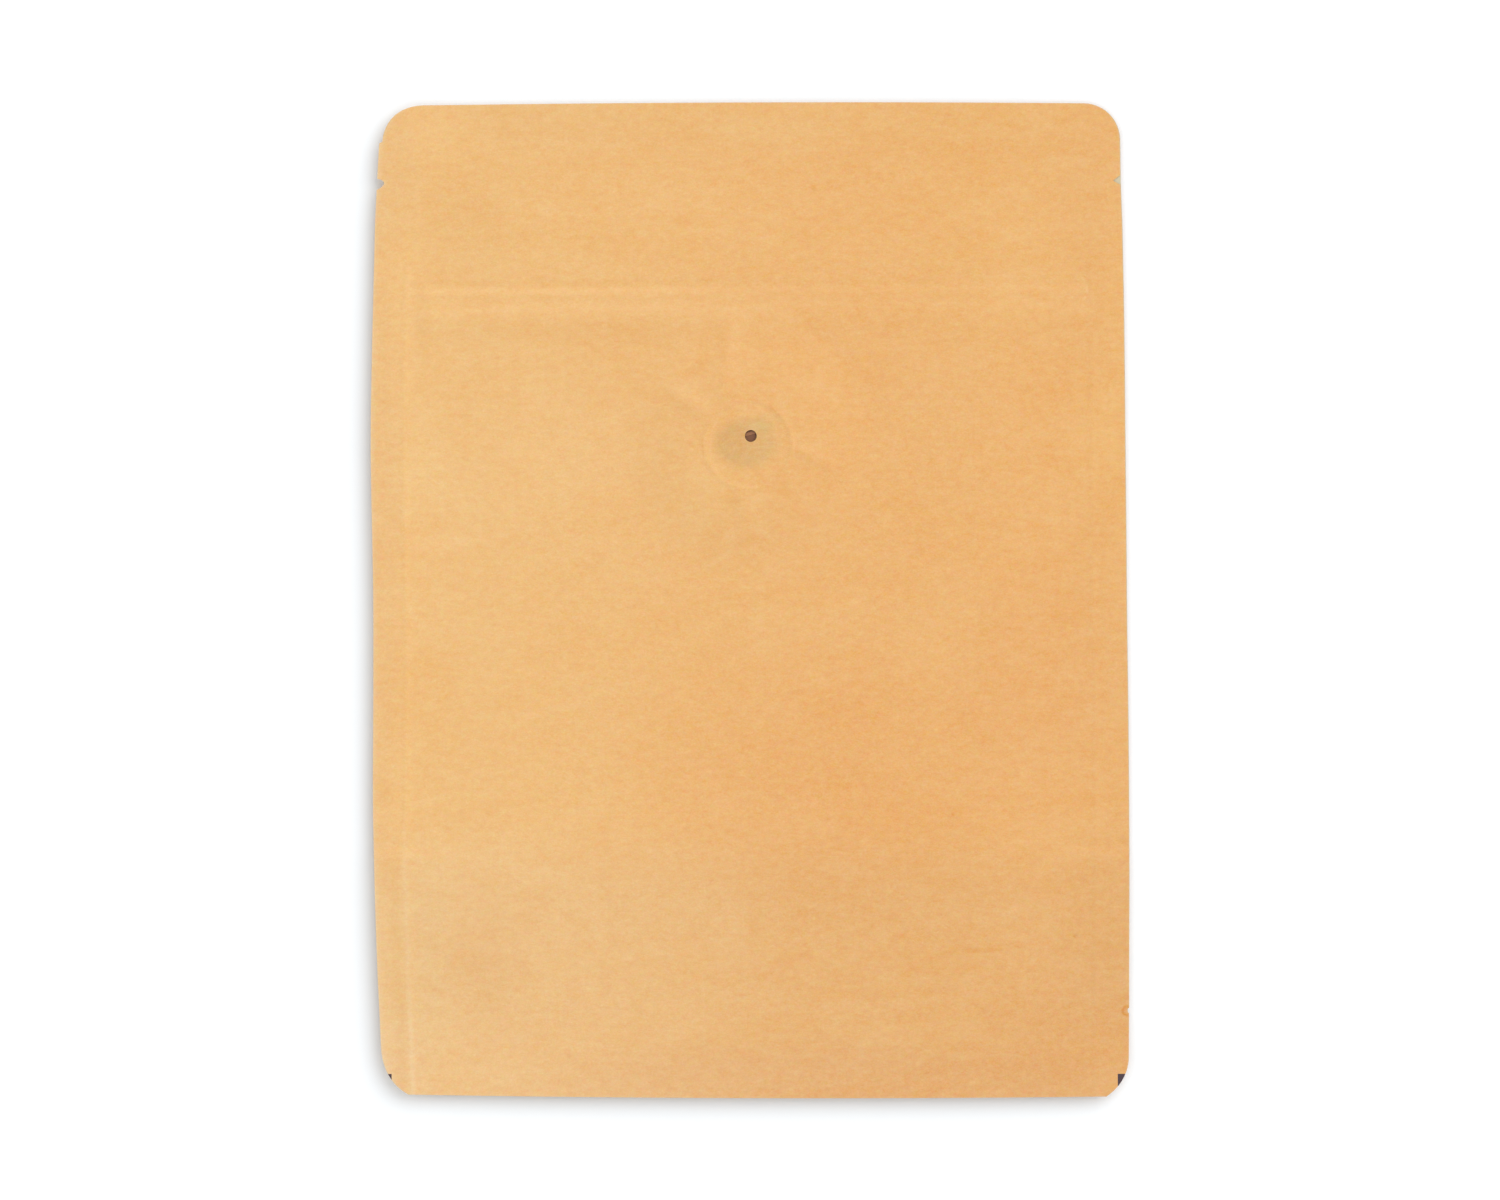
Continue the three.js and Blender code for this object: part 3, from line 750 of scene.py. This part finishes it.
def kraft_paper(name, shift, front):
    """Uncoated brown kraft: painted shade towards the right and a painted paling over the gusset, a long
    soft mottle, short flecks, and the painted highlights and shade that show on each side.
    """
    material, place, shader = new_material(name, KRAFT, 0.88, 0.2)
    x, y = place.millimetres()
    # Painted light and shade: darker and more orange towards the right, paler over the gusset
    painted_shade_rightwards = x.smooth(-86, 48)
    gusset = 1 - y.smooth(-75, -50)
    colour = place.colour(KRAFT)
    colour = colour.tinted(painted_shade_rightwards, KRAFT_PAINTED_SHADE_RIGHT)
    colour = colour.tinted(gusset, KRAFT_PAINTED_LIGHT_GUSSET)
    colour = colour.tinted(painted_shade_rightwards * gusset, KRAFT_PAINTED_SHADE_GUSSET_RIGHT)
    colour = colour.tinted(place.grain(15, stretch=2.2, detail=6, roughness=1, shift=shift), MOTTLE)
    colour = colour.tinted(place.grain(2, stretch=1.6, detail=3, roughness=1, shift=shift), FLECKS)
    colour = colour.tinted(place.grain(0.3, stretch=1.2, shift=shift), FINE_GRAIN)
    for offset, tint in ((0.11, REDDER), (0.23, GREENER)):
        own_shift = (shift[0] + offset, shift[1] + offset, 0)
        colour = colour.tinted(place.grain(1.2, stretch=1.4, detail=3, roughness=1, shift=own_shift), tint)
    from_edge = place.own("from_edge")
    colour = colour.tinted(1 - from_edge.smooth(0, 0.5), AT_EDGES)
    if front:
        colour = front_colour(colour, x, y, from_edge)
    else:
        colour = colour.tinted(back_painted_shading(x, y), PAINTED_SHADING_AND_SPECK_TINT)
    join(colour, shader, "Base Color")
    fibres = place.grain(0.5, stretch=3, detail=2, roughness=0.6, shift=shift)
    bump = place.node("ShaderNodeBump", {}, {"Strength": 0.1, "Distance": 0.00005, "Height": fibres})
    join(bump, shader, "Normal")
    return material


def front_colour(colour, x, y, from_edge):
    """The front's painted highlights, shade and specks, wide fields, valve and bottom corners, over the
    paper's colour.
    """
    colour = colour.tinted(front_painted_shading_and_specks(x, y), PAINTED_SHADING_AND_SPECK_TINT)
    colour = colour.tinted((1 - from_edge.smooth(0, 1.8)) * (1 - x.smooth(-91, -86)), AT_EDGES)
    for spot, half_length, half_width, core, shares in FIELDS:
        field = mark(x, y, spot, half_length, half_width, core=core)
        colour = colour.tinted(field, shares_of_kraft(*shares))
    over_valve = mark(x, y, **OVER_VALVE)
    right_half = x.smooth(-3, 5)
    colour = colour.tinted(over_valve * (1 - right_half), LEFT_OVER_VALVE)
    # Painted sheen on the right half over the valve
    colour = colour.tinted(over_valve * right_half, PAINTED_SHEEN_RIGHT_OVER_VALVE)
    colour = eye_marks(colour, x, y)
    return colour.tinted(tack_dent_painted_shade(x, y), PAINTED_SHADING_AND_SPECK_TINT)


def front_painted_shading_and_specks(x, y):
    """The front's painted highlights and shade at each place, over the zipper, the left seal's ridge and
    creases, with the paper's dark specks.
    """
    shading_and_specks = zipper_painted_shading(x, y) + left_seal_painted_shading(x, y)
    for spot, half_length, half_width, turn, strength in PAINTED_SHADING_MARKS:
        shading_and_specks = shading_and_specks + mark(x, y, spot, half_length, half_width, turn) * strength
    for spot, radius, strength in SPECKS:
        shading_and_specks = shading_and_specks + mark(x, y, spot, radius, radius) * strength
    return shading_and_specks


def back_painted_shading(x, y):
    """The back's painted highlights and shade at each place: over the zipper and along the two seals'
    inner edges.
    """
    off_line = x.own("unbowed").unsigned() - (HALF_WIDTH - SIDE_SEAL)
    line = off_line.smooth(-1.2, 0) * (1 - off_line.smooth(0, 1))
    return zipper_painted_shading(x, y) + line * (0.01 + (1 - y.smooth(-62, -56)) * 0.012)


def zipper_painted_shading(x, y):
    """Painted highlights and shade over the zipper's ridges under the paper, fainter towards the right."""
    below = HALF_HEIGHT - y + (x - ZIPPER["level_at"]) * ZIPPER["slope"]
    along = x.smooth(-85, -80) * (1 - x.smooth(84, 87)) * (1 - x.smooth(-24, 2) * 0.55)
    return along * sum(
        below.smooth(start, middle) * (1 - below.smooth(middle, end)) * strength
        for start, middle, end, strength in ZIPPER_PAINTED_LINES
    )


def left_seal_painted_shading(x, y):
    """A painted highlight along the left seal's inner edge and, by the gusset, a band of painted shade
    outside it.
    """
    by_gusset = 1 - y.smooth(-60, -48)
    at_zipper = y.smooth(58, 68) * (1 - y.smooth(80, 86))
    off_line = x.own("unbowed") + (HALF_WIDTH - SIDE_SEAL) + by_gusset * 0.5
    line = off_line.smooth(-1, 0) * (1 - off_line.smooth(0, 1.2))
    strength = 0.001 + by_gusset * 0.026 + at_zipper * 0.006 + (1 - y.smooth(-116, -96)) * 0.02
    band = off_line.smooth(-5.5, -2.6) * (1 - off_line.smooth(-2.2, -0.6))
    return line * strength - band * (1 - y.smooth(-72, -54)) * 0.021


def tack_dent_painted_shade(x, y):
    """Painted shade in the curved dent round the tack hole in the right edge."""
    spot = (HALF_WIDTH - 0.5, TACK["height"] - 0.1)
    return (mark(x, y, spot, 1.75, 1.75, core=0.6) - mark(x, y, spot, 1.2, 1.2, core=0.3)) * -0.085


def eye_marks(colour, x, y):
    """The dark register marks at the two bottom corners."""
    right = (x > RIGHT_EYE_MARK["from"]) * (y < RIGHT_EYE_MARK["top"])
    left = (x < LEFT_EYE_MARK["from"]) * (y < LEFT_EYE_MARK["top"]) * (y > LEFT_EYE_MARK["bottom"])
    return colour.mixed(right + left, (*EYE_MARK, 1))


def plain_material(name, colour, roughness, specular=0.3):
    return new_material(name, colour, roughness, specular)[0]


# --- Pieces of the pouch ---


def front_panel(paper, film, cut):
    """The panel that shows, with a finer mesh at the seals, the gusset's fold, zipper and notches."""
    across = [
        *spread(-HALF_WIDTH, -89.5, 8),
        *spread(-89.5, -85, 18),
        *spread(-85, -70, 13),
        *spread(-70, VALVE_CENTRE.x - PATCH_HALF, 32),
        *spread(VALVE_CENTRE.x - PATCH_HALF, VALVE_CENTRE.x + PATCH_HALF, PATCH_STEPS),
        *spread(VALVE_CENTRE.x + PATCH_HALF, 70, 32),
        *spread(70, 85, 13),
        *spread(85, 89.5, 14),
        *spread(89.5, HALF_WIDTH, 8),
        HALF_WIDTH,
    ]
    up = [
        *spread(-HALF_HEIGHT, -121.4, 6),
        *spread(-121.4, -104.5, 11),
        *spread(-104.5, -102.3, 10),
        *spread(-102.3, -67, 18),
        *spread(-67, -60, 12),
        *spread(-60, VALVE_CENTRE.y - PATCH_HALF, 40),
        *spread(VALVE_CENTRE.y - PATCH_HALF, VALVE_CENTRE.y + PATCH_HALF, PATCH_STEPS),
        *spread(VALVE_CENTRE.y + PATCH_HALF, 68, 6),
        *spread(68, 82, 40),
        *spread(82, 103.2, 14),
        *spread(103.2, 107.2, 32),
        *spread(107.2, 115.4, 6),
        *spread(115.4, 116.2, 3),
        *spread(116.2, HALF_HEIGHT, 9),
        HALF_HEIGHT,
    ]
    sheet = flat_sheet(across, up)
    ring_round_valve(sheet)
    cut_to_outline(sheet)
    shaped(sheet, front_surface)
    face_up(sheet)
    piece = finished("front_panel", sheet, [paper, film, cut], "pouch")
    return thicken(piece, SHEET, -1, inner=1, rim=2)


def back_panel(paper, film, cut):
    across = [*spread(-HALF_WIDTH, -53, 17), *spread(-53, 53, 14), *spread(53, HALF_WIDTH, 17), HALF_WIDTH]
    up = [
        *spread(-HALF_HEIGHT, -104.5, 10),
        *spread(-104.5, -102.3, 10),
        *spread(-102.3, -60, 18),
        *spread(-60, 80, 14),
        *spread(80, 103.2, 10),
        *spread(103.2, 107.2, 32),
        *spread(107.2, 115.4, 4),
        *spread(115.4, 116.2, 3),
        *spread(116.2, HALF_HEIGHT, 5),
        HALF_HEIGHT,
    ]
    sheet = flat_sheet(across, up)
    cut_to_outline(sheet)
    shaped(sheet, lying_surface, right_tear=0, shift=BACK_SHIFT, inset=BACK_INSET)
    face_up(sheet, up=False)
    piece = finished("back_panel", sheet, [paper, film, cut], "pouch")
    return thicken(piece, SHEET, -1, inner=1, rim=2)


def gusset(film, cut):
    """The sheet between the panels: up from the bottom edge, round at the fold and down again."""
    leg = FOLD_LINE + HALF_HEIGHT
    across = [*spread(-HALF_WIDTH, -86, 8), *spread(-86, 86, 60), *spread(86, HALF_WIDTH, 8), HALF_WIDTH]
    up = [
        *spread(-leg, -FOLD_HALF_ARC, 40),
        *spread(-FOLD_HALF_ARC, FOLD_HALF_ARC, FOLD_ARC_STEPS),
        *spread(FOLD_HALF_ARC, leg, 40),
        leg,
    ]
    sheet = flat_sheet(across, up)
    for side in (-1, 1):
        for end in (-1, 1):
            cut_corner(sheet, CORNERS[side, -1], side, end, leg)
    sheet.verts.ensure_lookup_table()
    flat = np.array([vert.co[:] for vert in sheet.verts])
    x = flat[:, 0] * (1 - GUSSET_INSET / HALF_WIDTH)
    unfolded = flat[:, 1]
    turn = np.clip(unfolded / FOLD_HALF_ARC, -1, 1) * math.pi / 2
    y = FOLD_LINE - np.abs(unfolded) + FOLD_BULGE * np.cos(turn)
    y = np.maximum(y, -HALF_HEIGHT + GUSSET_INSET)
    y = bowed_up(x, y)
    x = x - tack_depth(y) * pushed_in(HALF_WIDTH - x)
    upper = front_surface(x, y) - 1.5 * PAPER
    lower = back_surface(x, y) + 1.5 * PAPER
    lower = np.maximum(lower, lying_surface(x, y) + 1.5 * PAPER)
    z = upper + (lower - upper) * (1 + np.sin(turn)) / 2
    for vert, place in zip(sheet.verts, np.column_stack([bowed_across(x, y), y, z]).tolist()):
        vert.co = place
    bmesh.ops.recalc_face_normals(sheet, faces=sheet.faces)
    piece = finished("gusset", sheet, [film, cut], "pouch")
    return thicken(piece, GUSSET_SHEET, 0, rim=1)


def raise_faces(shape, faces, height):
    raised = bmesh.ops.extrude_face_region(shape, geom=faces)
    top = [part for part in raised["geom"] if isinstance(part, bmesh.types.BMVert)]
    bmesh.ops.translate(shape, vec=(0, 0, height), verts=top)


def bevel_level_edges(shape, edges, width):
    level = [edge for edge in edges if abs(edge.verts[0].co.z - edge.verts[1].co.z) < 1e-6]
    bmesh.ops.bevel(shape, geom=level, offset=width, affect="EDGES", segments=3, profile=0.5, material=-1)


def bar_over_valve():
    """The low bar that crosses the valve's disc and shows in the vent, in a paler copy of the plastic that
    is a painted highlight.
    """
    bar = bmesh.new()
    bmesh.ops.create_grid(bar, x_segments=1, y_segments=1, size=1)
    bmesh.ops.scale(bar, vec=(VALVE_BAR["half_length"], VALVE_BAR["half_width"], 1), verts=bar.verts)
    raise_faces(bar, list(bar.faces), VALVE_BAR_RISE + VALVE_BAR_SUNK)
    bevel_level_edges(bar, bar.edges, 0.08)
    # The bar takes the second material, a paler copy of the valve's plastic: a painted highlight
    for face in bar.faces:
        face.material_index = 1
    turn = Matrix.Rotation(math.radians(VALVE_BAR_TURN), 3, "Z")
    bmesh.ops.rotate(bar, cent=(0, 0, 0), matrix=turn, verts=bar.verts)
    place = Vector((*VALVE_BAR["centre"], VALVE_TOP - VALVE_BAR_SUNK))
    bmesh.ops.translate(bar, vec=place, verts=bar.verts)
    return bar


def valve_disc(plastic, band):
    disc = bmesh.new()
    bmesh.ops.create_circle(disc, cap_ends=True, radius=VALVE_RADIUS, segments=64)
    bmesh.ops.translate(disc, vec=VALVE_CENTRE + Vector((0, 0, VALVE_BOTTOM)), verts=disc.verts)
    raise_faces(disc, list(disc.faces), VALVE_TOP - VALVE_BOTTOM)
    bevel_level_edges(disc, disc.edges, 0.3)
    bar = bar_over_valve()
    passed_on = bpy.data.meshes.new("bar")
    bar.to_mesh(passed_on)
    bar.free()
    disc.from_mesh(passed_on)
    bpy.data.meshes.remove(passed_on)
    bmesh.ops.recalc_face_normals(disc, faces=disc.faces)
    return finished("valve_disc", disc, [plastic, band], "valve")


inner_film = plain_material("inner_film", (0.57, 0.5, 0.34), 0.45, 0.4)
cut_edge = plain_material("kraft_cut_edge", (0.80, 0.62, 0.42), 0.9, 0.2)
front_paper = kraft_paper("kraft_front", (0, 0, 0), True)
back_paper = kraft_paper("kraft_back", (0.7, 0.3, 0), False)
valve_plastic = plain_material("valve_plastic", (0.195, 0.08, 0.037), 0.45)
# A paler copy of the valve's plastic, a painted highlight on the bar over the valve
valve_bar_painted_highlight = plain_material("valve_bar_painted_highlight", (0.3, 0.13, 0.06), 0.4)

front_panel(front_paper, inner_film, cut_edge)
back_panel(back_paper, inner_film, cut_edge)
gusset(inner_film, cut_edge)
valve_disc(valve_plastic, valve_bar_painted_highlight)


# --- Studio ---

FLOOR_DEPTH = 0.1
FLOOR_HALF = 2000
SKY_STRENGTH = 0.89
KEY_STRENGTH = 1.3
KEY_FROM = Vector((0.7, 0.7, 1.0))
KEY_SOFTNESS = 60
CAMERA_HEIGHT = 3
CAMERA_LENS = 285.6


def floor():
    sheet = bmesh.new()
    bmesh.ops.create_grid(sheet, x_segments=1, y_segments=1, size=FLOOR_HALF * METRES)
    bmesh.ops.translate(sheet, vec=(0, 0, -FLOOR_DEPTH * METRES), verts=sheet.verts)
    mesh = bpy.data.meshes.new("studio_floor")
    sheet.to_mesh(mesh)
    sheet.free()
    mesh.materials.append(plain_material("white_table", (0.915, 0.945, 0.97), 0.9, 0.0))
    piece = bpy.data.objects.new("studio_floor", mesh)
    bpy.context.scene.collection.objects.link(piece)


def lights():
    world = bpy.data.worlds.new("studio_sky")
    world.use_nodes = True
    sky = world.node_tree.nodes["Background"]
    sky.inputs["Color"].default_value = (1, 1, 1, 1)
    sky.inputs["Strength"].default_value = SKY_STRENGTH
    bpy.context.scene.world = world
    key = bpy.data.lights.new("studio_key", "SUN")
    key.energy = KEY_STRENGTH
    key.angle = math.radians(KEY_SOFTNESS)
    lamp = bpy.data.objects.new("studio_key", key)
    lamp.rotation_euler = KEY_FROM.to_track_quat("Z", "Y").to_euler()
    bpy.context.scene.collection.objects.link(lamp)


def camera():
    lens = bpy.data.cameras.new("camera")
    lens.lens = CAMERA_LENS
    lens.sensor_width = 36
    viewer = bpy.data.objects.new("camera", lens)
    viewer.location = (0, 0, CAMERA_HEIGHT)
    bpy.context.scene.collection.objects.link(viewer)
    bpy.context.scene.camera = viewer
    bpy.context.scene.view_settings.view_transform = "Standard"


floor()
lights()
camera()
